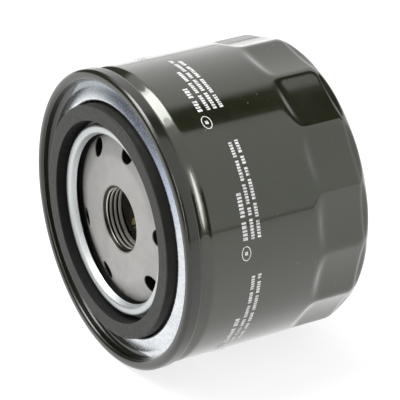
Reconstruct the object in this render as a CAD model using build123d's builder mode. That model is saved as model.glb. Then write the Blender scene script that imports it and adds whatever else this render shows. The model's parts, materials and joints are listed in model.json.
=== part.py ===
from build123d import *
import math
import os

# Spin-on oil filter: a painted steel can closed by a seamed lid and a threaded base plate,
# with a pleated element, an anti-drain valve, a bypass valve and an element spring inside.
#
# Frame: the filter's axis is Y. The threaded end faces -Y and the closed end faces +Y.
# The origin is on the axis where the thread begins, at the inner end of its mouth's chamfer.
# Lengths are in millimetres. A "y" is a place along the axis and an "r" a distance from it.

# ---------------------------------------------------------------- driving dimensions

# can
can_od = 91.5
can_wall = 0.5
can_closed_y = 63.7
can_corner_drop = 3.0
can_corner_radius = 6.5
crown_margin = 3.0
crown_slope_width = 4.0
crown_slope_drop = 1.4
neck_step = 1.5
neck_gap = 1.0
shoulder_length = 2.5

# wrench flats at the closed end
flat_count = 15
flat_depth = 0.95
flat_length = 20.1
flat_runout = 2.6
flat_ridge_deg = 92.0

# double seam between can and lid
seam_height = 4.9
seam_gap = 0.05
seam_outer_gap = 0.25
hook_end_gap = 0.2
can_hook_length = 1.7
compound_height = 0.8

# lid
lid_sheet = 0.6
lid_edge_lean = 0.8
hem_width = 2.6
hem_height = 3.7
hem_turn = 2.1
lip_height = 3.3
lid_root_step = 0.7
chuck_depth = 3.9

# sealing gasket
gasket_od = 72.0
gasket_width = 5.0
gasket_thickness = 6.0
gasket_standoff = 4.4
gasket_edge = 0.3
gasket_outer_fit = 0.35
gasket_inner_gap = 1.4

# base plate, with an M20 x 1.5 thread in its drawn collar. The thread's crests are cut back to
# the open end of class 7H, as they are in a tapped sheet collar.
thread_major_d = 20.0
thread_pitch = 1.5
thread_depth = 0.625
thread_length = 4.9
thread_lead_in = 0.5
thread_end_gap = 0.4
thread_cut_overlap = 0.1
mouth_chamfer = 1.3
collar_wall = 2.4
collar_root_radius = 1.2
plate_thickness = 3.0
plate_edge_gap = 1.1
plate_slope_margin = 0.2
plate_slope_width = 6.9
inlet_d = 5.8
inlet_set_in = 3.6
inlet_pairs = 3
inlet_pair_half_deg = 23.2
inlet_first_deg = 103.4

# anti-drain valve
drain_hub_wall = 1.75
drain_skirt = 1.2
drain_lip_reach = 3.0
drain_top = 1.4
drain_hub_length = 3.3
drain_skirt_drop = 0.5
drain_mouth_margin = 0.6

# filter element
cap_sheet = 0.4
cap_clearance = 0.1
cap_rim = 3.5
oil_gap = 3.3
front_hole_set_in = 0.9
potting_thickness = 1.5
potting_edge_gap = 0.15
potting_edge = 0.4
tube_r = 19.0
tube_wall = 0.5
tube_hole_d = 4.5
tube_hole_rows = 5
tube_holes_per_row = 10
tube_end_margin = 7.0
pleat_count = 48
pleat_cap_gap = 0.8
paper_thickness = 0.8
media_tube_gap = 0.4
clip_sheet = 0.4
clip_depth = 4.0
clip_inner_width = 1.8

# bypass valve
valve_bore_r = 8.0
valve_sheet = 0.5
valve_neck_depth = 1.8
valve_neck_gap = 0.9
valve_flange_width = 2.6
valve_fit = 0.45
cage_wall = 0.4
cage_flange_width = 2.6
cage_depth = 10.7
cage_floor_width = 2.0
cage_rim_width = 2.5
cage_window_count = 3
cage_window_deg = 70.0
stem_r = 2.8
stem_clearance = 0.2
stem_tail = 2.0
poppet_overlap = 1.6
poppet_clearance = 1.0
poppet_sheet = 0.8
seal_thickness = 1.2
seal_set_in = 1.2

# springs
valve_wire_d = 1.0
valve_coil_set_in = 3.4
valve_coils = 3.5
spring_wire_d = 2.0
spring_height = 8.5
spring_clearance = 2.5
spring_coils = 2.25
spring_seat_gap = 0.02

# ---------------------------------------------------------------- derived places

can_r = can_od / 2
neck_r = can_r - neck_step

# the seam's layers, from its inside outwards
chuck_r = neck_r - can_wall - seam_gap - lid_sheet
lid_hook_r = neck_r + seam_gap
can_hook_r = lid_hook_r + lid_sheet + seam_gap
seam_r = can_hook_r + can_wall + seam_outer_gap + lid_sheet

plate_face_y = -mouth_chamfer
gasket_face_y = plate_face_y - gasket_standoff
groove_floor_y = gasket_face_y + gasket_thickness
groove_outer_r = gasket_od / 2 + gasket_outer_fit
gasket_inner_r = gasket_od / 2 - gasket_width
groove_inner_r = gasket_inner_r - gasket_inner_gap

hem_r = groove_inner_r - hem_width
hem_crest_y = groove_floor_y - hem_height
lid_aperture_r = hem_r - lid_edge_lean
lid_edge_y = hem_crest_y + hem_turn
lip_y = groove_floor_y - lip_height
lid_root_y = groove_floor_y - lid_root_step
seam_front_y = lid_root_y - chuck_depth
seam_back_y = seam_front_y + seam_height
neck_back_y = seam_back_y + neck_gap
shoulder_y = neck_back_y + shoulder_length
can_split_y = shoulder_y + 4
can_hook_top_y = seam_front_y + lid_sheet + hook_end_gap + can_wall
can_hook_end_y = can_hook_top_y + can_hook_length

plate_flange_y = groove_floor_y + lid_sheet
plate_back_y = plate_flange_y + plate_thickness
plate_r = chuck_r - plate_edge_gap
plate_slope_r = lid_aperture_r + plate_slope_margin
plate_flat_r = plate_slope_r - plate_slope_width
inlet_circle_r = plate_slope_r - inlet_set_in
thread_minor_r = thread_major_d / 2 - thread_depth
collar_r = thread_major_d / 2 + collar_wall
collar_end_y = thread_length

drain_hub_inner_r = collar_r + seam_gap
drain_hub_r = collar_r + drain_hub_wall
drain_mouth_r = thread_major_d / 2 + drain_mouth_margin
drain_lip_r = plate_slope_r + drain_lip_reach
drain_top_y = collar_end_y + drain_top
drain_hub_end_y = drain_top_y - drain_hub_length
skirt_root_y = drain_top_y - drain_skirt_drop

dome_inner_y = can_closed_y - can_wall
front_cap_y = drain_top_y + cap_clearance
rear_cap_y = dome_inner_y - spring_height
cap_r = can_r - can_wall - flat_depth - oil_gap
front_hole_r = collar_r - front_hole_set_in
media_front_y = front_cap_y + cap_sheet + potting_thickness
media_rear_y = rear_cap_y - cap_sheet - potting_thickness
pleat_inner_r = tube_r + media_tube_gap
pleat_outer_r = cap_r - cap_sheet - pleat_cap_gap
potting_outer_r = cap_r - cap_sheet - potting_edge_gap
potting_inner_r = tube_r + potting_edge_gap

poppet_r = valve_bore_r + poppet_overlap
seal_inner_r = valve_bore_r - seal_set_in
cage_inner_r = poppet_r + poppet_clearance
cage_flange_r = cage_inner_r + cage_flange_width
valve_neck_r = cage_inner_r + cage_wall + valve_neck_gap
valve_flange_r = valve_neck_r + valve_flange_width
valve_coil_r = poppet_r - valve_coil_set_in
seat_y = rear_cap_y - valve_neck_depth
seat_back_y = seat_y - valve_sheet
poppet_front_y = seat_back_y - seal_thickness
poppet_back_y = poppet_front_y - poppet_sheet
cage_floor_y = seat_back_y - cage_depth
stem_end_y = cage_floor_y - cage_wall - stem_tail

spring_coil_r = valve_flange_r + spring_clearance
crown_r = spring_coil_r + crown_margin
crown_slope_r = crown_r + crown_slope_width
crown_slope_y = can_closed_y - crown_slope_drop
can_corner_y = can_closed_y - can_corner_drop
flat_start_y = can_closed_y - flat_length


def station(y):
    """The plane across the axis at y: its own x is +X and its own y is +Z."""
    return Plane.XZ.offset(-y)


def ring_profile(r_in, r_out, y_front, y_back):
    """The rectangular section of a plain ring, in the plane of X and Y."""
    with BuildSketch(Plane.XY) as section:
        with Locations(((r_in + r_out) / 2, (y_front + y_back) / 2)):
            Rectangle(r_out - r_in, y_back - y_front)
    return section.sketch


def sheet_profile(points, radii, thickness):
    """A bent sheet's section. The points run along one side, with the metal to their left."""
    corners = [Vector(*point) for point in points]
    runs = [(after - before).normalized() for before, after in zip(corners, corners[1:])]
    normals = [Vector(-run.Y, run.X) for run in runs]
    far_side = [corners[0] + normals[0] * thickness]
    far_radii = []
    for place, radius in enumerate(radii):
        before, after = normals[place], normals[place + 1]
        share = thickness / (1 + before.dot(after))
        far_side.append(corners[place + 1] + (before + after) * share)
        turns_left = runs[place].cross(runs[place + 1]).Z > 0
        far_radii.append(radius - thickness if turns_left else radius + thickness)
    far_side.append(corners[-1] + normals[-1] * thickness)
    with BuildSketch(Plane.XY) as section:
        with BuildLine():
            near = FilletPolyline(*corners, radius=radii)
            far = FilletPolyline(*far_side, radius=far_radii)
            Line(near @ 0, far @ 0)
            Line(near @ 1, far @ 1)
        make_face()
    return section.sketch


def coil(wire_d, mean_r, turns, y_start, y_end):
    """An open coil spring of round wire about the axis, between two planes."""
    rise = y_end - y_start - wire_d
    with BuildPart() as spring:
        with BuildLine() as centre:
            Helix(pitch=rise / turns, height=rise, radius=mean_r,
                  center=(0, y_start + wire_d / 2, 0), direction=(0, 1, 0))
        with BuildSketch(Plane(centre.line @ 0, z_dir=centre.line % 0)):
            Circle(wire_d / 2)
        sweep(path=centre.line, is_frenet=True)
    return spring.part


def flats_tool(apothem, clear_r):
    """A solid that keeps everything inside the ring of wrench flats, and all that lies in front."""
    with BuildPart() as tool:
        with BuildSketch(station(flat_start_y)):
            RegularPolygon(apothem, flat_count, major_radius=False, rotation=flat_ridge_deg)
        extrude(amount=-(can_closed_y + 5 - flat_start_y))
        with BuildSketch(station(flat_start_y - flat_runout)):
            RegularPolygon(clear_r, flat_count, major_radius=False, rotation=flat_ridge_deg)
        with BuildSketch(station(flat_start_y)):
            RegularPolygon(apothem, flat_count, major_radius=False, rotation=flat_ridge_deg)
        loft()
        with BuildSketch(station(can_split_y - 1)):
            Circle(clear_r + 2)
        extrude(amount=-(flat_start_y - flat_runout - can_split_y + 1))
    return tool.part


def can_body(r, depth, apothem):
    """The can's drawn body as a filled solid, from behind the shoulder to the closed end."""
    corner = can_corner_radius - depth
    keep = flats_tool(apothem, can_r + 0.2)
    with BuildPart() as body:
        with BuildSketch(Plane.XY):
            with BuildLine():
                FilletPolyline(
                    (0, can_split_y), (r, can_split_y), (r, can_corner_y - depth),
                    (crown_slope_r, crown_slope_y - depth), (crown_r, can_closed_y - depth),
                    (0, can_closed_y - depth), radius=[0.0, corner, 3.0, 3.0])
                Line((0, can_closed_y - depth), (0, can_split_y))
            make_face()
        revolve(axis=Axis.Y)
        add(keep, mode=Mode.INTERSECT)
    return body.part


# ---------------------------------------------------------------- can

can_outside = can_body(can_r, 0.0, can_r - flat_depth)
can_inside = can_body(can_r - can_wall, can_wall, can_r - flat_depth - can_wall)

with BuildPart() as can:
    # the neck and the hook that the lid's curl locks over
    add(sheet_profile(
        [(can_hook_r, can_hook_end_y), (can_hook_r, can_hook_top_y), (neck_r, can_hook_top_y),
         (neck_r, neck_back_y), (can_r, shoulder_y), (can_r, can_split_y)],
        [0.34, 0.34, 1.6, 2.2], can_wall))
    revolve(axis=Axis.Y)
    # the drawn body with its wrench flats and crowned end
    add(can_outside)
    add(can_inside, mode=Mode.SUBTRACT)
can.part.label = "can"

# ---------------------------------------------------------------- lid and seam

lid_points = [
    (lid_aperture_r, lid_edge_y),
    (hem_r, hem_crest_y),
    (groove_inner_r, hem_crest_y),
    (groove_inner_r, groove_floor_y),
    (groove_outer_r, groove_floor_y),
    (groove_outer_r, lip_y),
    (chuck_r, lid_root_y),
    (chuck_r, seam_front_y),
    (seam_r, seam_front_y),
    (seam_r, seam_back_y),
    (lid_hook_r, seam_back_y),
    (lid_hook_r, can_hook_top_y + hook_end_gap),
]

with BuildPart() as seaming_lid:
    add(sheet_profile(lid_points, [1.1, 1.2, 0.5, 0.5, 0.8, 1.8, 1.2, 1.4, 1.0, 0.8], lid_sheet))
    revolve(axis=Axis.Y)
seaming_lid.part.label = "seaming_lid"

# sealing compound in the pocket behind the can's hook
with BuildPart() as seam_compound:
    add(ring_profile(can_hook_r + seam_gap, seam_r - lid_sheet - seam_gap,
                     can_hook_end_y, can_hook_end_y + compound_height))
    revolve(axis=Axis.Y)
seam_compound.part.label = "seam_compound"

with BuildPart() as sealing_gasket:
    add(ring_profile(gasket_inner_r, gasket_od / 2, gasket_face_y, groove_floor_y))
    revolve(axis=Axis.Y)
    chamfer(sealing_gasket.edges().filter_by(GeomType.CIRCLE), gasket_edge)
sealing_gasket.part.label = "sealing_gasket"

# ---------------------------------------------------------------- base plate

inlet_angles = [
    inlet_first_deg - pair * 360 / inlet_pairs + side * inlet_pair_half_deg
    for pair in range(inlet_pairs) for side in (-1, 1)
]


def thread_groove():
    """The helical groove between the thread's crests, which ends just inside the collar."""
    groove_length = thread_lead_in + thread_length - thread_end_gap
    flank_slope = math.tan(math.radians(30))
    root_half = thread_pitch / 16
    mouth_half = root_half + thread_depth * flank_slope
    spread = thread_cut_overlap * flank_slope
    with BuildPart() as groove:
        with BuildLine() as path:
            Helix(pitch=thread_pitch, height=groove_length, radius=thread_minor_r,
                  center=(0, -thread_lead_in, 0), direction=(0, 1, 0))
        begin = path.line @ 0
        outward = Vector(begin.X, 0, begin.Z)
        with BuildSketch(Plane(begin, x_dir=outward, z_dir=path.line % 0)):
            Polygon((-thread_cut_overlap, -mouth_half - spread), (thread_depth, -root_half),
                    (thread_depth, root_half), (-thread_cut_overlap, mouth_half + spread), align=None)
        sweep(path=path.line, is_frenet=True)
    return groove.part


plate_thread = thread_groove()

# the bend where the collar leaves the plate, no larger than the flat beside it has room for
collar_root_fillet = min(collar_root_radius, (plate_flat_r - collar_r) / 2)

with BuildPart() as base_plate:
    with BuildSketch(Plane.XY):
        with BuildLine():
            FilletPolyline(
                (thread_minor_r, 0), (thread_minor_r + mouth_chamfer, plate_face_y),
                (plate_flat_r, plate_face_y), (plate_slope_r, plate_flange_y),
                (plate_r, plate_flange_y), (plate_r, plate_back_y), (plate_slope_r, plate_back_y),
                (plate_flat_r, plate_face_y + plate_thickness),
                (collar_r, plate_face_y + plate_thickness), (collar_r, collar_end_y),
                (thread_minor_r, collar_end_y),
                radius=[0.9, 6.0, 2.0, 0.8, 0.8, 4.5, 3.0, collar_root_fillet, 0.8], close=False)
            Line((thread_minor_r, collar_end_y), (thread_minor_r, 0))
        make_face()
    revolve(axis=Axis.Y)
    with BuildSketch(station(-5)):
        for angle in inlet_angles:
            with PolarLocations(inlet_circle_r, 1, start_angle=angle):
                Circle(inlet_d / 2)
    extrude(amount=-20, mode=Mode.SUBTRACT)
    add(plate_thread, mode=Mode.SUBTRACT)
base_plate.part.label = "base_plate"

# ---------------------------------------------------------------- anti-drain valve

with BuildPart() as anti_drain_valve:
    with BuildSketch(Plane.XY):
        with BuildLine():
            FilletPolyline(
                (drain_mouth_r, collar_end_y), (drain_mouth_r, drain_top_y),
                (drain_hub_r, drain_top_y), (drain_hub_r, skirt_root_y),
                (drain_lip_r - 1.0, plate_back_y + drain_skirt), (drain_lip_r, plate_back_y),
                (drain_lip_r - 1.2, plate_back_y), (drain_hub_r, skirt_root_y - drain_skirt),
                (drain_hub_r, drain_hub_end_y), (drain_hub_inner_r, drain_hub_end_y),
                (drain_hub_inner_r, collar_end_y),
                radius=[0.4, 0.2, 0.2, 0.5, 0.2, 0.4, 0.3, 0.3, 0.3], close=False)
            Line((drain_hub_inner_r, collar_end_y), (drain_mouth_r, collar_end_y))
        make_face()
    revolve(axis=Axis.Y)
anti_drain_valve.part.label = "anti_drain_valve"

# ---------------------------------------------------------------- filter element

with BuildPart() as front_end_cap:
    add(sheet_profile([(front_hole_r, front_cap_y), (cap_r, front_cap_y),
                       (cap_r, front_cap_y + cap_rim)], [1.0], cap_sheet))
    revolve(axis=Axis.Y)
front_end_cap.part.label = "front_end_cap"

with BuildPart() as rear_end_cap:
    add(sheet_profile([(cap_r, rear_cap_y - cap_rim), (cap_r, rear_cap_y),
                       (valve_neck_r + valve_fit, rear_cap_y)], [1.0], cap_sheet))
    revolve(axis=Axis.Y)
rear_end_cap.part.label = "rear_end_cap"

with BuildPart() as front_potting:
    add(ring_profile(potting_inner_r, potting_outer_r, front_cap_y + cap_sheet, media_front_y))
    revolve(axis=Axis.Y)
    chamfer(front_potting.edges().filter_by(GeomType.CIRCLE).sort_by(SortBy.RADIUS)[-2:], potting_edge)
front_potting.part.label = "front_potting"

with BuildPart() as rear_potting:
    add(ring_profile(potting_inner_r, potting_outer_r, media_rear_y, rear_cap_y - cap_sheet))
    revolve(axis=Axis.Y)
    chamfer(rear_potting.edges().filter_by(GeomType.CIRCLE).sort_by(SortBy.RADIUS)[-2:], potting_edge)
rear_potting.part.label = "rear_potting"

tube_front_y = front_cap_y + cap_sheet
tube_length = rear_cap_y - cap_sheet - tube_front_y
tube_row_pitch = (tube_length - 2 * tube_end_margin) / (tube_hole_rows - 1)

with BuildPart() as centre_tube:
    add(ring_profile(tube_r - tube_wall, tube_r, tube_front_y, tube_front_y + tube_length))
    revolve(axis=Axis.Y)
    for row in range(tube_hole_rows):
        row_y = tube_front_y + tube_end_margin + row * tube_row_pitch
        for place in range(tube_holes_per_row):
            turn = (place + (row % 2) / 2) * 360 / tube_holes_per_row
            aim = Vector(math.cos(math.radians(turn)), 0, math.sin(math.radians(turn)))
            with BuildSketch(Plane((0, row_y, 0), z_dir=aim)):
                Circle(tube_hole_d / 2)
            extrude(amount=tube_r + 1, mode=Mode.SUBTRACT)
centre_tube.part.label = "centre_tube"


def pleat_point(r, step):
    """A corner of the pleated strip: every whole step is one pleat further round."""
    angle = math.radians(step * 360 / pleat_count)
    return (r * math.cos(angle), r * math.sin(angle))


def pleat_star(r_half_step, r_whole_step):
    """A closed star with a corner at every fold, as a flat face."""
    corners = []
    for pleat in range(pleat_count):
        corners.append(pleat_point(r_half_step, pleat - 0.5))
        corners.append(pleat_point(r_whole_step, pleat))
    with BuildSketch() as star:
        with BuildLine():
            Polyline(*corners, close=True)
        make_face()
    return star.sketch


# Both faces of the strip are stars. Each face's far corners lie past the strip's own circles,
# by the length that keeps the leaves as thick as the paper.
fold_angle = math.atan2(pleat_inner_r * math.sin(math.pi / pleat_count),
                        pleat_outer_r - pleat_inner_r)
corner_reach = paper_thickness / math.sin(fold_angle) - paper_thickness

outer_star = pleat_star(pleat_inner_r + paper_thickness, pleat_outer_r + corner_reach)
inner_star = pleat_star(pleat_inner_r - corner_reach, pleat_outer_r - paper_thickness)

with BuildPart() as pleated_media:
    with BuildSketch(station(media_front_y)):
        Circle(pleat_outer_r)
        Circle(pleat_inner_r, mode=Mode.SUBTRACT)
        add(outer_star, mode=Mode.INTERSECT)
        add(inner_star, mode=Mode.SUBTRACT)
    extrude(amount=-(media_rear_y - media_front_y))
pleated_media.part.label = "pleated_media"

# A folded strip of sheet that closes the pleated ring along one outer fold, on the +X side.
clip_back_r = pleat_outer_r + cap_clearance
clip_length = clip_depth + clip_sheet
with BuildPart() as media_seam_clip:
    with BuildSketch(station(media_front_y)):
        with Locations((clip_back_r + clip_sheet - clip_length / 2, 0)):
            Rectangle(clip_length, clip_inner_width + 2 * clip_sheet)
        with Locations((clip_back_r - clip_depth / 2, 0)):
            Rectangle(clip_depth, clip_inner_width, mode=Mode.SUBTRACT)
    extrude(amount=-(media_rear_y - media_front_y))
    fillet(media_seam_clip.edges().filter_by(Axis.Y).group_by(Axis.X)[-1], clip_sheet)
media_seam_clip.part.label = "media_seam_clip"

# ---------------------------------------------------------------- bypass valve

with BuildPart() as bypass_seat:
    add(sheet_profile([(valve_flange_r, rear_cap_y + valve_sheet),
                       (valve_neck_r - valve_sheet, rear_cap_y + valve_sheet),
                       (valve_neck_r - valve_sheet, seat_y), (valve_bore_r, seat_y)],
                      [0.9, 0.2], valve_sheet))
    revolve(axis=Axis.Y)
bypass_seat.part.label = "bypass_seat"

with BuildPart() as bypass_cage:
    add(sheet_profile([(cage_flange_r, seat_back_y), (cage_inner_r, seat_back_y),
                       (cage_inner_r, cage_floor_y),
                       (stem_r + stem_clearance, cage_floor_y)], [0.6, 0.3], cage_wall))
    revolve(axis=Axis.Y)
    window_y = cage_floor_y + cage_floor_width
    for window in range(cage_window_count):
        with BuildSketch(station(window_y)):
            with BuildLine():
                spread = math.radians(cage_window_deg / 2)
                turn = math.radians(window * 360 / cage_window_count)
                reach = 2 * cage_inner_r
                Polyline((0, 0), (reach * math.cos(turn - spread), reach * math.sin(turn - spread)),
                         (reach * math.cos(turn + spread), reach * math.sin(turn + spread)),
                         close=True)
            make_face()
        extrude(amount=-(cage_depth - cage_floor_width - cage_rim_width), mode=Mode.SUBTRACT)
bypass_cage.part.label = "bypass_cage"

with BuildPart() as bypass_poppet:
    with BuildSketch(Plane.XY):
        with BuildLine():
            FilletPolyline((0, stem_end_y), (stem_r, stem_end_y), (stem_r, poppet_back_y),
                           (poppet_r, poppet_back_y), (poppet_r, poppet_front_y),
                           (0, poppet_front_y), radius=[0.8, 0.5, 0.2, 0.2], close=False)
            Line((0, poppet_front_y), (0, stem_end_y))
        make_face()
    revolve(axis=Axis.Y)
bypass_poppet.part.label = "bypass_poppet"

with BuildPart() as bypass_seal:
    add(ring_profile(seal_inner_r, poppet_r, poppet_front_y, seat_back_y))
    revolve(axis=Axis.Y)
bypass_seal.part.label = "bypass_seal"

bypass_spring = coil(valve_wire_d, valve_coil_r, valve_coils,
                     cage_floor_y + spring_seat_gap, poppet_back_y - spring_seat_gap)
bypass_spring.label = "bypass_spring"

# ---------------------------------------------------------------- element spring

element_spring = coil(spring_wire_d, spring_coil_r, spring_coils,
                      rear_cap_y + spring_seat_gap, dome_inner_y - spring_seat_gap)
element_spring.label = "element_spring"

# ---------------------------------------------------------------- one file for each piece

pieces = [
    can.part, seaming_lid.part, seam_compound.part, sealing_gasket.part, base_plate.part,
    anti_drain_valve.part, front_end_cap.part, rear_end_cap.part, front_potting.part,
    rear_potting.part, centre_tube.part, pleated_media.part, media_seam_clip.part,
    bypass_seat.part, bypass_cage.part, bypass_poppet.part, bypass_seal.part,
    bypass_spring, element_spring,
]

os.makedirs("parts", exist_ok=True)
for piece in pieces:
    export_step(piece, f"parts/{piece.label}.step")
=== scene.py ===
import json
import math
import random

import bpy
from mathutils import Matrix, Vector


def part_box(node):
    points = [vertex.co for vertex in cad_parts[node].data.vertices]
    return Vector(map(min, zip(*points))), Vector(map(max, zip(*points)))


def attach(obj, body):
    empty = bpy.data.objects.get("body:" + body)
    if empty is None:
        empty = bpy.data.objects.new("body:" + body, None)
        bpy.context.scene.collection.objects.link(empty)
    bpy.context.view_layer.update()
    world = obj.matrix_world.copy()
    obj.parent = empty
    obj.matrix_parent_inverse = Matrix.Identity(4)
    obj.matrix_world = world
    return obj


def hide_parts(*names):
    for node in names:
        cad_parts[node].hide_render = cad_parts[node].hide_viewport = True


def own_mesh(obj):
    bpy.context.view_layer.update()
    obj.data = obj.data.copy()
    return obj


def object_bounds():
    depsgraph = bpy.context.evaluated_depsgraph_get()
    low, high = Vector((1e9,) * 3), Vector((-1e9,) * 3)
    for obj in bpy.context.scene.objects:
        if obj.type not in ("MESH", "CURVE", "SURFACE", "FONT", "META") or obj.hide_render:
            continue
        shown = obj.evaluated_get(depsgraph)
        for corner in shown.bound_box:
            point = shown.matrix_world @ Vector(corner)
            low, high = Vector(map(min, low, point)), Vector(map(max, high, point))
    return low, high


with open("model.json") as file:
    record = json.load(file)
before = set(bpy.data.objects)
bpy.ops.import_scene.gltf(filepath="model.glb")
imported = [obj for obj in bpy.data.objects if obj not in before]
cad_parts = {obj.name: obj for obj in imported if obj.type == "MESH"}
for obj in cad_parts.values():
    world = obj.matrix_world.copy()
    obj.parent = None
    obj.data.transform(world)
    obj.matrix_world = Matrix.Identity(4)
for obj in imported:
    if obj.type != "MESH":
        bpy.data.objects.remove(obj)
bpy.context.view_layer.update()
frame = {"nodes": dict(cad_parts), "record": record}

# The filter's axis is Y, with the threaded end towards -Y. Its sizes are in millimetres, and
# MM turns them into metres where they reach Blender. The floor and the lamp are in metres.
MM = 0.001


def corner(node, which, axis):
    """A coordinate of a CAD node's box in millimetres: which is 0 for low and 1 for high."""
    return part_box(node)[which]["xyz".index(axis)] / MM


can_r = corner("can", 1, "x")
closed_y = corner("can", 1, "y")
seam_r = corner("seaming_lid", 1, "x")
seam_front_y = corner("seaming_lid", 0, "y")
gasket_face_y = corner("sealing_gasket", 0, "y")
groove_floor_y = corner("sealing_gasket", 1, "y")
gasket_r = corner("sealing_gasket", 1, "x")
plate_face_y = corner("base_plate", 0, "y")
thread_crest_r = frame["record"]["mounts"][0]["dims"]["r_mm"]

# gasket and base plate
gasket_width = 5.0
gasket_inner_r = gasket_r - gasket_width
# where the painted shade on the inlet holes' walls starts to follow the plate's slope, and how steeply
hole_shade_r = 20.3
hole_shade_rise = 0.32

# can
can_wall = 0.5
neck_r = can_r - 1.5
neck_front_y = seam_front_y + 1.3
seam_height = 4.9
neck_back_y = seam_front_y + seam_height + 1.0
shoulder_y = neck_back_y + 2.5
corner_radius = 6.5
corner_y = closed_y - 3.0
crown_slope_r = 24.0
crown_slope_y = closed_y - 1.4
crown_r = 20.0

# wrench flats at the can's closed end
flat_count = 15
flat_depth = 1.3
flat_dish = 0.50
flat_length = 20.1
flat_runout = 4.4
# how far outside the round a flat lies before its run-out
flat_clearance = 0.3
first_ridge = math.radians(92.0)
ridge_softness = 0.085

# lid
lid_sheet = 0.6
groove_outer_r = gasket_r + 0.35
groove_inner_r = gasket_inner_r - 1.4
lip_y = groove_floor_y - 3.3
lid_root_y = groove_floor_y - 0.7
chuck_r = seam_r - 3.2
hem_r = groove_inner_r - 2.6
hem_crest_y = groove_floor_y - 3.7
lid_edge_r = hem_r - 0.8
lid_edge_y = hem_crest_y + 2.1
lid_hook_r = neck_r + 0.05
lid_hook_end_y = seam_front_y + 1.5

# ---------------------------------------------------------------- mesh helpers


def arc_points(before, at, after, radius, step_deg=6.0):
    """The points of the arc of that radius that rounds the corner at `at`."""
    inward = (before - at).normalized()
    onward = (after - at).normalized()
    turn = math.pi - inward.angle(onward)
    if radius < 0.01 or turn < 0.01:
        return [at]
    reach = radius * math.tan(turn / 2)
    centre = at + (inward + onward).normalized() * (radius / math.cos(turn / 2))
    first = at + inward * reach - centre
    last = at + onward * reach - centre
    steps = max(2, math.ceil(math.degrees(turn) / step_deg))
    points = []
    for k in range(steps + 1):
        share = k / steps
        weight_first = math.sin((1 - share) * turn) / math.sin(turn)
        weight_last = math.sin(share * turn) / math.sin(turn)
        points.append(centre + first * weight_first + last * weight_last)
    return points


def rounded(points, radii):
    """An open outline of (r, y) points with every inner corner rounded."""
    corners = [Vector(point) for point in points]
    line = [corners[0]]
    for place, radius in enumerate(radii, start=1):
        line += arc_points(corners[place - 1], corners[place], corners[place + 1], radius)
    return line + [corners[-1]]


def sheet_outline(points, radii, thickness):
    """The closed outline of bent sheet metal. The metal lies to the left of the points' run."""
    corners = [Vector(point) for point in points]
    runs = [(b - a).normalized() for a, b in zip(corners, corners[1:])]
    normals = [Vector((-run.y, run.x)) for run in runs]
    far = [corners[0] + normals[0] * thickness]
    far_radii = []
    for place, radius in enumerate(radii):
        before, after = normals[place], normals[place + 1]
        far.append(corners[place + 1] + (before + after) * (thickness / (1 + before.dot(after))))
        turns_left = runs[place].x * runs[place + 1].y - runs[place].y * runs[place + 1].x > 0
        far_radii.append(max(0.0, radius - thickness if turns_left else radius + thickness))
    far.append(corners[-1] + normals[-1] * thickness)
    return rounded(points, radii) + list(reversed(rounded(far, far_radii)))


def split_long(outline, longest):
    """The same closed outline with points added, so that no step is longer than `longest`."""
    dense = []
    for a, b in zip(outline, outline[1:] + outline[:1]):
        steps = max(1, math.ceil((b - a).length / longest))
        dense += [a.lerp(b, k / steps) for k in range(steps)]
    return dense


def finish_mesh(name, verts, faces, sharp_deg=40.0):
    """A mesh object from points in millimetres, shaded smooth except at sharp edges."""
    mesh = bpy.data.meshes.new(name)
    mesh.from_pydata([Vector(v) * MM for v in verts], [], faces)
    mesh.validate()
    for polygon in mesh.polygons:
        polygon.use_smooth = True
    mesh.set_sharp_from_angle(angle=math.radians(sharp_deg))
    piece = bpy.data.objects.new(name, mesh)
    bpy.context.scene.collection.objects.link(piece)
    return piece


def lathe(name, outline, angles, radius_at=None):
    """Turns a closed outline of (r, y) about the Y axis. radius_at(r, y, angle) may shape it."""
    verts = []
    starts = []
    for point in outline:
        starts.append(len(verts))
        if point[0] < 1e-6:
            verts.append((0.0, point[1], 0.0))
            continue
        for angle in angles:
            r = radius_at(point[0], point[1], angle) if radius_at else point[0]
            verts.append((r * math.cos(angle), point[1], r * math.sin(angle)))
    faces = []
    columns = len(angles)
    for row in range(len(outline)):
        following = (row + 1) % len(outline)
        on_axis = outline[row][0] < 1e-6
        next_on_axis = outline[following][0] < 1e-6
        if on_axis and next_on_axis:
            continue
        for column in range(columns):
            beside = (column + 1) % columns
            a, b = starts[row] + column, starts[row] + beside
            c, d = starts[following] + beside, starts[following] + column
            if on_axis:
                faces.append((starts[row], c, d))
            elif next_on_axis:
                faces.append((a, b, starts[following]))
            else:
                faces.append((a, b, c, d))
    area = sum(a[0] * b[1] - b[0] * a[1] for a, b in zip(outline, outline[1:] + outline[:1]))
    if area > 0:
        faces = [tuple(reversed(face)) for face in faces]
    return finish_mesh(name, verts, faces)


def even_angles(count):
    return [2 * math.pi * k / count for k in range(count)]


# ---------------------------------------------------------------- material helpers


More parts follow.
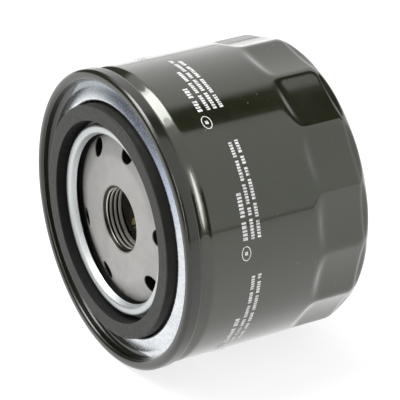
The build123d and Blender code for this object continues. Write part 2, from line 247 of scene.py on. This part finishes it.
class Nodes:
    """A material's node tree, with short calls for the nodes that these finishes use."""

    def __init__(self, name):
        self.material = bpy.data.materials.new(name)
        self.material.use_nodes = True
        self.tree = self.material.node_tree
        self.shader = self.tree.nodes["Principled BSDF"]

    def link(self, source, target):
        self.tree.links.new(source, target)

    def set(self, **values):
        """Constant values on the shader's own sockets, with _ for a space in their names."""
        for socket, value in values.items():
            if isinstance(value, tuple):
                value = (*value, 1.0)
            self.shader.inputs[socket.replace("_", " ")].default_value = value

    def node(self, kind, **settings):
        made = self.tree.nodes.new(kind)
        for key, value in settings.items():
            setattr(made, key, value)
        return made

    def position(self):
        return self.node("ShaderNodeTexCoord").outputs["Object"]

    def math(self, operation, a, b=None):
        """A math node on sockets or numbers."""
        made = self.node("ShaderNodeMath", operation=operation)
        for place, value in enumerate((a, b)):
            if value is None:
                continue
            if isinstance(value, (int, float)):
                made.inputs[place].default_value = value
            else:
                self.link(value, made.inputs[place])
        return made.outputs[0]

    def ramp(self, value, low, high, out_low=0.0, out_high=1.0):
        """A smooth step of value from low to high, mapped from out_low to out_high."""
        made = self.node("ShaderNodeMapRange", interpolation_type="SMOOTHSTEP")
        made.inputs["From Min"].default_value = low
        made.inputs["From Max"].default_value = high
        made.inputs["To Min"].default_value = out_low
        made.inputs["To Max"].default_value = out_high
        self.link(value, made.inputs["Value"])
        return made.outputs["Result"]

    def noise(self, vector, scale, detail=3.0, roughness=0.55):
        made = self.node("ShaderNodeTexNoise")
        made.inputs["Scale"].default_value = scale
        made.inputs["Detail"].default_value = detail
        made.inputs["Roughness"].default_value = roughness
        self.link(vector, made.inputs["Vector"])
        return made.outputs["Fac"]

    def cells(self, vector, scale, output="Distance"):
        made = self.node("ShaderNodeTexVoronoi", feature="F1")
        made.inputs["Scale"].default_value = scale
        self.link(vector, made.inputs["Vector"])
        return made.outputs[output]

    def mix(self, factor, a, b):
        """A colour mix by a factor socket. a and b are colours or sockets."""
        made = self.node("ShaderNodeMix", data_type="RGBA")
        self.link(factor, made.inputs["Factor"])
        for socket, value in ((made.inputs[6], a), (made.inputs[7], b)):
            if isinstance(value, tuple):
                socket.default_value = (*value, 1.0)
            else:
                self.link(value, socket)
        return made.outputs[2]

    def bump(self, height, distance_mm, strength):
        made = self.node("ShaderNodeBump")
        made.inputs["Distance"].default_value = distance_mm * MM
        made.inputs["Strength"].default_value = strength
        self.link(height, made.inputs["Height"])
        return made.outputs["Normal"]

    def radius(self, position):
        """Distance from the Y axis and place along it, in millimetres, then x, y, z in metres."""
        split = self.node("ShaderNodeSeparateXYZ")
        self.link(position, split.inputs[0])
        squares = self.math("ADD", self.math("MULTIPLY", split.outputs[0], split.outputs[0]),
                            self.math("MULTIPLY", split.outputs[2], split.outputs[2]))
        away = self.math("DIVIDE", self.math("SQRT", squares), MM)
        along = self.math("DIVIDE", split.outputs[1], MM)
        return away, along, split.outputs

    def toward(self, axes, x_share, z_share):
        """How far a point lies, in millimetres, along a direction across the axis."""
        return self.math("ADD", self.math("MULTIPLY", axes[0], x_share / MM),
                         self.math("MULTIPLY", axes[2], z_share / MM))

    def apply(self, color, rough, normal, metallic=None):
        """Links what varies over the surface to the shader, and returns the material."""
        for socket, name in ((color, "Base Color"), (rough, "Roughness"),
                             (normal, "Normal"), (metallic, "Metallic")):
            if socket is not None:
                self.link(socket, self.shader.inputs[name])
        return self.material


PAINT_BLACK = (0.0090, 0.0098, 0.0048)
PAINT_DUST = (0.16, 0.16, 0.15)


def dust(n, position, scale, size):
    """A mask of a few small dust specks: 1 on a speck."""
    spot = n.ramp(n.cells(position, scale), size, size * 0.4)
    some = n.ramp(n.noise(position, scale * 0.21, 1.0), 0.56, 0.62)
    return n.math("MULTIPLY", spot, some)


def black_paint():
    """Gloss black enamel with a faint olive cast, orange peel and a little dust."""
    n = Nodes("black_paint")
    position = n.position()
    specks = dust(n, position, 420.0, 0.11)
    color = n.mix(n.noise(position, 70.0), PAINT_BLACK, (0.0125, 0.0135, 0.0068))
    color = n.mix(n.math("MULTIPLY", specks, 0.7), color, PAINT_DUST)
    rough = n.ramp(n.noise(position, 160.0, 4.0), 0.3, 0.7, 0.13, 0.22)
    rough = n.math("MAXIMUM", rough, n.math("MULTIPLY", specks, 0.8))
    peel = n.bump(n.noise(position, 520.0, 2.0), 0.012, 0.35)
    n.set(Coat_Weight=1.0, Coat_Roughness=0.05, IOR=1.48, Specular_Tint=(0.94, 1.0, 0.82))
    return n.apply(color, rough, peel)


def lid_zinc():
    """Bright zinc with a bluish spangle inside, the can's black paint over the rolled seam, and
    painted reflections: bluish on the upper right, dark on the upper left.
    """
    n = Nodes("zinc_plate")
    position = n.position()
    away, _, axes = n.radius(position)
    wobble = n.ramp(n.noise(position, 110.0, 3.0), 0.3, 0.7, -0.18, 0.18)
    # the overspray reaches furthest in on the lower side that faces -X, never past the gasket
    overspray = n.ramp(n.toward(axes, -0.85, -0.5), -2.0, 30.0, 0.0, 6.2)
    paint_r = seam_r - 3.45
    painted = n.math("ADD", n.math("ADD", away, wobble), overspray)
    painted = n.math("MULTIPLY", n.ramp(painted, paint_r - 0.35, paint_r + 0.35),
                     n.ramp(away, gasket_r - 2.0, gasket_r - 1.0))
    outside = n.ramp(away, gasket_r, gasket_r + 0.6)
    spangle = n.cells(position, 1100.0, "Color")
    grain = n.noise(position, 1700.0, 2.0)
    tone = n.math("MULTIPLY", n.ramp(spangle, 0.25, 0.75), outside)
    # painted reflection: a bluish tint over the zinc's upper right, outside the gasket
    upper_right_blue_reflection = n.math("MULTIPLY", n.ramp(n.toward(axes, 0.55, 0.83), 24.0, 38.0), outside)
    plain = n.mix(n.ramp(n.noise(position, 60.0), 0.35, 0.65), (0.66, 0.68, 0.70), (0.72, 0.74, 0.755))
    plain = n.mix(outside, (0.56, 0.585, 0.585), plain)
    zinc = n.mix(n.math("MULTIPLY", tone, 0.45), plain, (0.50, 0.53, 0.58))
    zinc = n.mix(n.math("MULTIPLY", upper_right_blue_reflection, 0.75), zinc, (0.36, 0.42, 0.55))
    # painted reflection: the zinc darker on its upper left, outside the gasket
    upper_left_dark_reflection = n.math("MULTIPLY", n.ramp(n.toward(axes, -0.7, 1.0), 22.0, 40.0),
                    n.ramp(away, gasket_r + 1.0, gasket_r + 4.0))
    zinc = n.mix(n.math("MULTIPLY", upper_left_dark_reflection, 0.7), zinc, (0.15, 0.18, 0.21))
    color = n.mix(painted, zinc, PAINT_BLACK)
    metallic = n.math("SUBTRACT", 1.0, painted)
    zinc_rough = n.ramp(grain, 0.3, 0.7, 0.20, 0.30)
    # the turned hem inside the gasket has a satin finish
    on_hem = n.ramp(away, gasket_inner_r + 0.5, gasket_inner_r - 0.5, 0.0, 0.20)
    zinc_rough = n.math("ADD", zinc_rough, on_hem)
    rough = n.math("MULTIPLY", metallic, zinc_rough)
    rough = n.math("ADD", rough, n.math("MULTIPLY", painted, 0.22))
    height = n.math("MULTIPLY", n.math("ADD", n.math("MULTIPLY", grain, 0.5), tone), outside)
    n.set(IOR=1.5, Coat_Roughness=0.05)
    n.link(n.math("MULTIPLY", painted, 0.35), n.shader.inputs["Coat Weight"])
    return n.apply(color, rough, n.bump(height, 0.008, 0.35), metallic)


def moulded_rubber():
    """The gasket's satin black rubber, with painted shade on its inner wall."""
    n = Nodes("rubber")
    position = n.position()
    specks = dust(n, position, 500.0, 0.10)
    away, _, _ = n.radius(position)
    # painted shade: the gasket's inner wall made near black
    shaded_inner_wall = n.ramp(away, gasket_inner_r + 0.30, gasket_inner_r + 0.12)
    color = n.mix(n.noise(position, 220.0), (0.012, 0.012, 0.009), (0.019, 0.0185, 0.015))
    color = n.mix(n.math("MULTIPLY", specks, 0.6), color, PAINT_DUST)
    color = n.mix(shaded_inner_wall, color, (0.003, 0.003, 0.003))
    rough = n.ramp(n.noise(position, 700.0, 3.0), 0.3, 0.7, 0.38, 0.50)
    rough = n.math("ADD", rough, n.math("MULTIPLY", shaded_inner_wall, 0.35))
    n.set(IOR=1.45, Specular_IOR_Level=0.36)
    return n.apply(color, rough, n.bump(n.noise(position, 2200.0, 2.0), 0.010, 0.5))


def pressed_steel():
    """Matt steel of the base plate: faint turned rings, blotches of oil and a little rust, with
    painted shade and a painted highlight on the thread.
    """
    n = Nodes("plain_steel")
    position = n.position()
    away, along, axes = n.radius(position)
    rings = n.math("SINE", n.math("MULTIPLY", away, 5.5))
    blotch = n.noise(position, 150.0, 5.0, 0.6)
    color = n.mix(n.ramp(blotch, 0.3, 0.7), (0.36, 0.352, 0.340), (0.44, 0.432, 0.420))
    color = n.mix(n.ramp(rings, 0.2, 1.0, 0.0, 0.12), color, (0.31, 0.302, 0.290))
    rim = n.ramp(away, hem_r - 3.4, hem_r - 2.0)
    # painted shade: the plate darker towards -X
    shaded = n.ramp(n.math("DIVIDE", axes[0], MM), 4.0, -26.0, 0.0, 0.45)
    color = n.mix(shaded, color, (0.20, 0.195, 0.185))
    rust_here = n.math("MULTIPLY", rim, n.ramp(n.toward(axes, -0.8, -1.0), 20.0, 26.0))
    patchy = n.math("MULTIPLY", rust_here, n.ramp(n.noise(position, 420.0, 5.0), 0.38, 0.62))
    color = n.mix(n.math("MULTIPLY", patchy, 0.8), color, (0.17, 0.085, 0.045))
    # painted shade: near black on the plate beyond the lid's edge, under the turned hem
    color = n.mix(n.ramp(away, lid_edge_r - 0.8, lid_edge_r), color, (0.012, 0.012, 0.011))
    spots = n.math("MULTIPLY", n.ramp(n.cells(position, 260.0), 0.10, 0.04),
                   n.ramp(n.noise(position, 70.0), 0.55, 0.62))
    color = n.mix(n.math("MULTIPLY", spots, 0.5), color, (0.16, 0.14, 0.12))
    # painted shade in the thread's grooves and on the walls of the inlet holes
    in_bore = n.ramp(away, thread_crest_r + 1.1, thread_crest_r + 0.8)
    thread_groove_shade = n.math("MULTIPLY", in_bore, n.ramp(away, thread_crest_r + 0.04, thread_crest_r + 0.24))
    past_flat = n.math("SUBTRACT", away, hole_shade_r)
    slope = n.math("MAXIMUM", n.math("MULTIPLY", past_flat, hole_shade_rise), 0.0)
    behind = n.math("SUBTRACT", n.math("SUBTRACT", along, plate_face_y), slope)
    hole_wall_shade = n.math("MULTIPLY", n.ramp(behind, 0.25, 0.7), n.ramp(away, 16.0, 17.0))
    color = n.mix(hole_wall_shade, color, (0.010, 0.009, 0.008))
    # the cut thread in the bore lighter: partly bare steel, partly a painted highlight on its crests
    color = n.mix(in_bore, color, (0.70, 0.67, 0.60))
    color = n.mix(thread_groove_shade, color, (0.022, 0.020, 0.016))
    rough = n.ramp(blotch, 0.3, 0.7, 0.46, 0.58)
    rough = n.math("SUBTRACT", rough, n.math("MULTIPLY", in_bore, 0.22))
    n.set(Metallic=0.75)
    relief = n.math("ADD", n.noise(position, 1800.0, 2.0), n.math("MULTIPLY", rings, 0.15))
    return n.apply(color, rough, n.bump(relief, 0.008, 0.5))


def sheet_metal(name, dark, light, low_rough, high_rough):
    """A bright or oiled sheet or wire, with small blotches and a fine grain."""
    n = Nodes(name)
    position = n.position()
    color = n.mix(n.ramp(n.noise(position, 240.0, 4.0), 0.3, 0.7), dark, light)
    rough = n.ramp(n.noise(position, 900.0, 3.0), 0.3, 0.7, low_rough, high_rough)
    n.set(Metallic=1.0)
    return n.apply(color, rough, n.bump(n.noise(position, 1500.0, 2.0), 0.006, 0.4))


def soft_matter(name, dark, light, scale, grain_mm, rough_low, rough_high):
    """A matt non-metal: paper, adhesive or sealing compound."""
    n = Nodes(name)
    position = n.position()
    color = n.mix(n.ramp(n.noise(position, scale, 5.0, 0.65), 0.3, 0.7), dark, light)
    rough = n.ramp(n.noise(position, scale * 2.0, 3.0), 0.3, 0.7, rough_low, rough_high)
    return n.apply(color, rough, n.bump(n.noise(position, scale * 4.0, 3.0), grain_mm, 0.6))


def valve_rubber():
    """Dull black rubber that takes almost no light."""
    n = Nodes("valve_rubber")
    position = n.position()
    color = n.mix(n.noise(position, 260.0), (0.002, 0.002, 0.002), (0.004, 0.004, 0.004))
    n.set(Specular_IOR_Level=0.05)
    rough = n.ramp(n.noise(position, 520.0, 3.0), 0.3, 0.7, 0.72, 0.88)
    return n.apply(color, rough, n.bump(n.noise(position, 1000.0, 3.0), 0.01, 0.6))


def ink_white():
    """White printing ink, a little worn."""
    n = Nodes("print_ink")
    position = n.position()
    worn = n.ramp(n.noise(position, 900.0, 4.0), 0.34, 0.50)
    color = n.mix(worn, (0.34, 0.34, 0.34), (0.66, 0.66, 0.66))
    n.set(IOR=1.45)
    return n.apply(color, n.ramp(worn, 0.0, 1.0, 0.62, 0.45), n.bump(worn, 0.004, 0.5))


finishes = {
    "black_paint": black_paint(),
    "zinc_plate": lid_zinc(),
    "rubber": moulded_rubber(),
    "plain_steel": pressed_steel(),
    "seam_compound": soft_matter("seam_compound", (0.16, 0.13, 0.11), (0.27, 0.23, 0.19),
                                 300.0, 0.03, 0.7, 0.9),
    "valve_rubber": valve_rubber(),
    "adhesive": soft_matter("adhesive", (0.50, 0.26, 0.055), (0.62, 0.36, 0.10),
                            180.0, 0.02, 0.35, 0.5),
    "filter_paper": soft_matter("filter_paper", (0.72, 0.56, 0.25), (0.82, 0.69, 0.38),
                                700.0, 0.04, 0.8, 0.95),
    "tinned_steel": sheet_metal("tinned_steel", (0.55, 0.55, 0.53), (0.68, 0.68, 0.66), 0.26, 0.40),
    "spring_steel": sheet_metal("spring_steel", (0.26, 0.26, 0.25), (0.40, 0.40, 0.38), 0.28, 0.42),
    "print_ink": ink_white(),
}

for row in frame["record"]["subparts"]:
    node = frame["nodes"][row["node"]]
    node.data.materials.clear()
    node.data.materials.append(finishes[row["material_slot"]])


def place(piece, finish, replaced=None, body="housing"):
    """Gives a new piece its material and its body, and hides the CAD node that it replaces."""
    piece.data.materials.append(finishes[finish])
    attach(piece, body)
    if replaced:
        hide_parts(replaced)
    return piece


# ---------------------------------------------------------------- can with its wrench flats


def flat_angles():
    """Angles round the can, closer together near the ridges between the flats."""
    half = math.pi / flat_count
    shares = [-1.0, -0.975, -0.95, -0.92, -0.88, -0.80, -0.66, -0.45, -0.2, 0.0,
              0.2, 0.45, 0.66, 0.80, 0.88, 0.92, 0.95, 0.975]
    return [first_ridge + half * (1 + 2 * flat + share)
            for flat in range(flat_count) for share in shares]


def flattened(r, y, angle):
    """The radius after the wrench flats are pressed in: the nearer of the round and the flat."""
    half = math.pi / flat_count
    off_centre = (angle - first_ridge) % (2 * half) - half
    start = closed_y - flat_length - flat_runout
    share = min(1.0, max(0.0, (y - start) / flat_runout))
    eased = share * share * (3 - 2 * share)
    inside = r < can_r - 0.75 * can_wall and y < corner_y - 1.0
    dish = flat_dish * eased * (1 - (off_centre / half) ** 2)
    pressed = (flat_depth + flat_clearance - flat_dish) * eased + dish
    apothem = can_r - (can_wall if inside else 0.0) + flat_clearance - pressed
    flat_r = apothem / math.cos(off_centre)
    if share <= 0 or flat_r - r > 20 * ridge_softness:
        return r
    soft = ridge_softness
    least = min(r, flat_r)
    spread = math.exp(-(r - least) / soft) + math.exp(-(flat_r - least) / soft)
    return least - soft * math.log(spread)


def can_outline():
    """The can's sheet, from its neck in the seam to the middle of its closed end and back."""
    wall_part = [(neck_r, neck_front_y), (neck_r, neck_back_y), (can_r, shoulder_y)]
    end_part = [(crown_slope_r, crown_slope_y), (crown_r, closed_y), (0.0, closed_y)]
    path = wall_part + [(can_r, corner_y)] + end_part
    inner_path = [(r - can_wall, y) for r, y in wall_part]
    inner_path += [(can_r - can_wall, corner_y - can_wall)]
    inner_path += [(r, y - can_wall) for r, y in end_part]
    outside = rounded(path, [1.6, 2.2, corner_radius, 3.0, 3.0])
    inside = rounded(inner_path, [2.1, 1.7, corner_radius - can_wall, 3.5, 2.5])
    return split_long(outside + list(reversed(inside)), 1.1)


place(lathe("can_shell", can_outline(), flat_angles(), flattened), "black_paint", "can")

# ---------------------------------------------------------------- lid, gasket

lid_points = [
    (lid_edge_r, lid_edge_y),
    (hem_r, hem_crest_y),
    (groove_inner_r, hem_crest_y),
    (groove_inner_r, groove_floor_y),
    (groove_outer_r, groove_floor_y),
    (groove_outer_r, lip_y),
    (chuck_r, lid_root_y),
    (chuck_r, seam_front_y),
    (seam_r, seam_front_y),
    (seam_r, seam_front_y + seam_height),
    (lid_hook_r, seam_front_y + seam_height),
    (lid_hook_r, lid_hook_end_y),
]
lid_radii = [1.1, 1.2, 0.5, 0.5, 0.8, 1.8, 1.2, 1.4, 1.0, 0.8]
lid_outline = split_long(sheet_outline(lid_points, lid_radii, lid_sheet), 1.4)
place(lathe("lid_shell", lid_outline, even_angles(240)), "zinc_plate", "seaming_lid")

gasket_edge = 0.35
gasket_middle = (gasket_r + gasket_inner_r) / 2
gasket_outline = rounded(
    [(gasket_middle, gasket_face_y), (gasket_r, gasket_face_y), (gasket_r, groove_floor_y),
     (gasket_inner_r, groove_floor_y), (gasket_inner_r, gasket_face_y),
     (gasket_middle, gasket_face_y)],
    [gasket_edge] * 4)[:-1]
place(lathe("gasket_ring", split_long(gasket_outline, 0.7), even_angles(240)),
      "rubber", "sealing_gasket")

# ---------------------------------------------------------------- printed marks

# White print on the can, as rows of plain bars with no lettering: blocks of lines that run
# round the can, each with a ring mark at the start of its header.
print_rise = 0.012
ink_thickness = 0.03
block_count = 7
block_first_deg = 4.2
header_gap_deg = 5.0
ring_half_round = 2.3
ring_half_along = 1.6
ring_width = 0.26
dot_half_round = 0.55
dot_half_along = 0.5
# bars and gaps, as shares of their line's height
narrowest_bar = 0.40
widest_bar = 0.66
bar_gap = 0.24
word_gap = 0.7
# each line: how far behind the plate's face it lies, its height, and its length in degrees
three_lines = [(16.7, 1.55, 18.0), (19.2, 1.15, 37.0), (21.4, 1.15, 38.0)]
four_lines = [(15.2, 1.55, 13.5), (18.0, 1.15, 24.5), (20.2, 1.15, 35.0), (22.4, 1.15, 32.5)]
draw = random.Random(7)
ink_verts = []
ink_faces = []


def ink_patch(angle_from, angle_to, y_from, y_to, steps):
    """A thin closed patch of ink on the can between two angles and two places along the axis."""
    start = len(ink_verts)
    for k in range(steps + 1):
        angle = angle_from + (angle_to - angle_from) * k / steps
        for r in (can_r + print_rise, can_r + print_rise + ink_thickness):
            for y in (y_from, y_to):
                ink_verts.append((r * math.cos(angle), y, r * math.sin(angle)))
    for k in range(steps):
        a = start + 4 * k
        b = a + 4
        ink_faces.extend([(a, a + 1, b + 1, b), (a + 2, b + 2, b + 3, a + 3),
                          (a, b, b + 2, a + 2), (a + 1, a + 3, b + 3, b + 1)])
    last = start + 4 * steps
    ink_faces.extend([(start, start + 2, start + 3, start + 1),
                      (last, last + 1, last + 3, last + 2)])


def ink_ring(angle, y):
    """An oval ring mark on the can, longer round it than along it."""
    start = len(ink_verts)
    steps = 32
    for k in range(steps):
        turn = 2 * math.pi * k / steps
        for inset in (ring_width, 0.0):
            for lift in (0.0, ink_thickness):
                r = can_r + print_rise + lift
                at = angle + (ring_half_round - inset) * math.cos(turn) / can_r
                along = y + (ring_half_along - inset) * math.sin(turn)
                ink_verts.append((r * math.cos(at), along, r * math.sin(at)))
    for k in range(steps):
        a = start + 4 * k
        b = start + 4 * ((k + 1) % steps)
        ink_faces.extend([(a, b, b + 1, a + 1), (a + 1, b + 1, b + 3, a + 3),
                          (a + 3, b + 3, b + 2, a + 2), (a + 2, b + 2, b, a)])


def ink_line(start_deg, y, height, length_deg):
    """A line of print: groups of short bars, with gaps like those between words."""
    at = math.radians(start_deg)
    end = math.radians(start_deg + length_deg)
    while at < end:
        for _ in range(draw.randint(3, 8)):
            width = draw.uniform(narrowest_bar, widest_bar) * height / can_r
            if at + width > end:
                break
            ink_patch(at, at + width, y - height / 2, y + height / 2, 2)
            at += width + bar_gap * height / can_r
        at += word_gap * height / can_r


for block in range(block_count):
    mark_deg = block_first_deg + block * 360 / block_count
    mark = math.radians(mark_deg)
    lines = four_lines if block % 3 == 1 else three_lines
    header_y = plate_face_y + lines[0][0]
    ink_ring(mark, header_y)
    ink_patch(mark - dot_half_round / can_r, mark + dot_half_round / can_r,
              header_y - dot_half_along, header_y + dot_half_along, 2)
    for behind_face, height, length_deg in lines:
        ink_line(mark_deg + header_gap_deg, plate_face_y + behind_face, height, length_deg)

place(finish_mesh("printed_marks", ink_verts, ink_faces, 30.0), "print_ink")

# ---------------------------------------------------------------- springs that shorten


def coil_mesh(name, node, wire_d, turns):
    """An open coil of round wire about the Y axis, as long and as wide as its CAD node."""
    low_y, high_y = corner(node, 0, "y"), corner(node, 1, "y")
    mean_r = corner(node, 1, "x") - wire_d / 2
    rise = high_y - low_y - wire_d
    stations = round(turns * 48)
    around = 14
    verts = []
    for k in range(stations + 1):
        angle = 2 * math.pi * turns * k / stations
        for j in range(around):
            section = 2 * math.pi * j / around
            r = mean_r + wire_d / 2 * math.cos(section)
            y = low_y + wire_d / 2 + rise * k / stations + wire_d / 2 * math.sin(section)
            verts.append((r * math.cos(angle), y, -r * math.sin(angle)))
    faces = [tuple(range(around)), tuple(reversed(range(stations * around, len(verts))))]
    for k in range(stations):
        for j in range(around):
            beside = (j + 1) % around
            faces.append((k * around + j, (k + 1) * around + j,
                          (k + 1) * around + beside, k * around + beside))
    return finish_mesh(name, verts, faces)


# each spring's wire diameter and its turns
spring_wires = {"element_spring": (2.0, 2.25), "bypass_spring": (1.0, 3.5)}
behaviour = frame["record"]["behaviour"]
for joint in behaviour["joints"]:
    deforming = joint["deforming_nodes"][0]
    node = deforming["node"]
    body = next(name for name, nodes in behaviour["bodies"].items() if node in nodes)
    spring = place(coil_mesh(node + "_coil", node, *spring_wires[node]), "spring_steel", node, body)
    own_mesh(spring)

# ---------------------------------------------------------------- CAD nodes that stay visible

for node in frame["nodes"].values():
    if not node.hide_render:
        for polygon in node.data.polygons:
            polygon.use_smooth = True
        node.data.set_sharp_from_angle(angle=math.radians(30.0))

# ---------------------------------------------------------------- floor, light and camera

floor_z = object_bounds()[0].z
floor_mesh = bpy.data.meshes.new("floor")
floor_reach = 6.0
floor_sides = ((-1, -1), (1, -1), (1, 1), (-1, 1))
floor_mesh.from_pydata([(x * floor_reach, y * floor_reach, floor_z) for x, y in floor_sides],
                       [], [(0, 1, 2, 3)])
floor = bpy.data.objects.new("floor", floor_mesh)
bpy.context.scene.collection.objects.link(floor)
floor_nodes = Nodes("floor_white")
floor_nodes.set(Base_Color=(0.26, 0.26, 0.26), Roughness=0.9, Specular_IOR_Level=0.1,
                Emission_Color=(1.0, 1.0, 1.0), Emission_Strength=0.80)
floor_mesh.materials.append(floor_nodes.material)


def studio_world():
    """A white light tent with a dark gap overhead and a dark wall in front of the filter."""
    world = bpy.data.worlds.new("studio")
    world.use_nodes = True
    tree = world.node_tree
    background = tree.nodes["Background"]

    def link(a, b):
        tree.links.new(a, b)

    def value(operation, a, b):
        made = tree.nodes.new("ShaderNodeMath")
        made.operation = operation
        for place, item in enumerate((a, b)):
            if isinstance(item, (int, float)):
                made.inputs[place].default_value = item
            else:
                link(item, made.inputs[place])
        return made.outputs[0]

    def step(item, low_at, high_at):
        made = tree.nodes.new("ShaderNodeMapRange")
        made.interpolation_type = "SMOOTHSTEP"
        made.inputs["From Min"].default_value = low_at
        made.inputs["From Max"].default_value = high_at
        link(item, made.inputs["Value"])
        return made.outputs["Result"]

    def product(*masks):
        result = masks[0]
        for mask in masks[1:]:
            result = value("MULTIPLY", result, mask)
        return result

    direction = tree.nodes.new("ShaderNodeTexCoord").outputs["Generated"]
    split = tree.nodes.new("ShaderNodeSeparateXYZ")
    link(direction, split.inputs[0])
    x, y, z = split.outputs
    # the dark gap between the overhead light and the front light
    gap = product(step(x, -0.27, -0.12), step(x, 0.17, 0.13), step(z, 0.35, 0.5),
                  step(y, 0.1, 0.25))
    # a thin dark line where the tent meets the floor
    seam = product(step(z, -0.02, 0.0), step(z, 0.035, 0.015), step(y, 0.2, 0.3))
    # the dark wall at the height of the filter, in front of its threaded end
    wall = product(step(z, -0.10, 0.0), step(z, 0.62, 0.50), step(y, 0.38, 0.28))
    # the overhead light reaches forward over the threaded end
    front_top = product(step(z, 0.55, 0.62), step(x, 0.02, -0.03), step(x, -0.55, -0.48),
                        step(y, 0.20, 0.05))
    # a tall narrow strip light beside the camera
    strip = product(step(y, -0.61, -0.595), step(y, -0.535, -0.55), step(x, 0.3, 0.34),
                    step(z, 0.04, 0.07), step(z, 0.66, 0.63))
    level = value("SUBTRACT", 1.05, value("MULTIPLY", gap, 1.03))
    level = value("SUBTRACT", level, value("MULTIPLY", seam, 0.55))
    level = value("MULTIPLY", level, value("SUBTRACT", 1.0, value("MULTIPLY", wall, 0.93)))
    level = value("ADD", level, value("MULTIPLY", front_top, 4.0))
    level = value("ADD", level, value("MULTIPLY", strip, 15.0))
    # seen straight on, the tent is plain white
    seen = tree.nodes.new("ShaderNodeLightPath").outputs["Is Camera Ray"]
    level = value("ADD", value("MULTIPLY", level, value("SUBTRACT", 1.0, seen)), seen)
    link(level, background.inputs["Strength"])
    background.inputs["Color"].default_value = (1.0, 1.0, 1.0, 1.0)
    bpy.context.scene.world = world


studio_world()

lamp = bpy.data.lights.new("top_light", "AREA")
lamp.shape = "SQUARE"
lamp.size = 0.5
lamp.energy = 5.0
lamp_place = Vector((-0.25, -0.20, 0.9))
lamp_aim = Vector((0, 0.02, 0))
top_light = bpy.data.objects.new("top_light", lamp)
top_light.location = lamp_place
top_light.rotation_euler = (lamp_aim - lamp_place).to_track_quat("-Z", "Y").to_euler()
bpy.context.scene.collection.objects.link(top_light)

camera_back = Vector((0.7764, -0.4688, 0.4213)).normalized()
camera_right = Vector((-camera_back.y, camera_back.x, 0)).normalized()
camera_up = camera_back.cross(camera_right)
aim_y = plate_face_y - 1.4
aim_right = 25.61
aim_up = 6.09
camera_target = (Vector((0, aim_y, 0)) + camera_right * aim_right + camera_up * aim_up) * MM
camera_distance = 832.9 * MM

camera_data = bpy.data.cameras.new("camera")
camera_data.lens = 250.0
camera_data.sensor_width = 36.0
camera_data.clip_start = 0.01
camera_data.clip_end = 50.0
camera = bpy.data.objects.new("camera", camera_data)
camera.location = camera_target + camera_back * camera_distance
camera.rotation_mode = "QUATERNION"
camera.rotation_quaternion = (-camera_back).to_track_quat("-Z", "Y")
bpy.context.scene.collection.objects.link(camera)
bpy.context.scene.camera = camera

bpy.context.scene.view_settings.view_transform = "Standard"
bpy.context.scene.view_settings.look = "None"
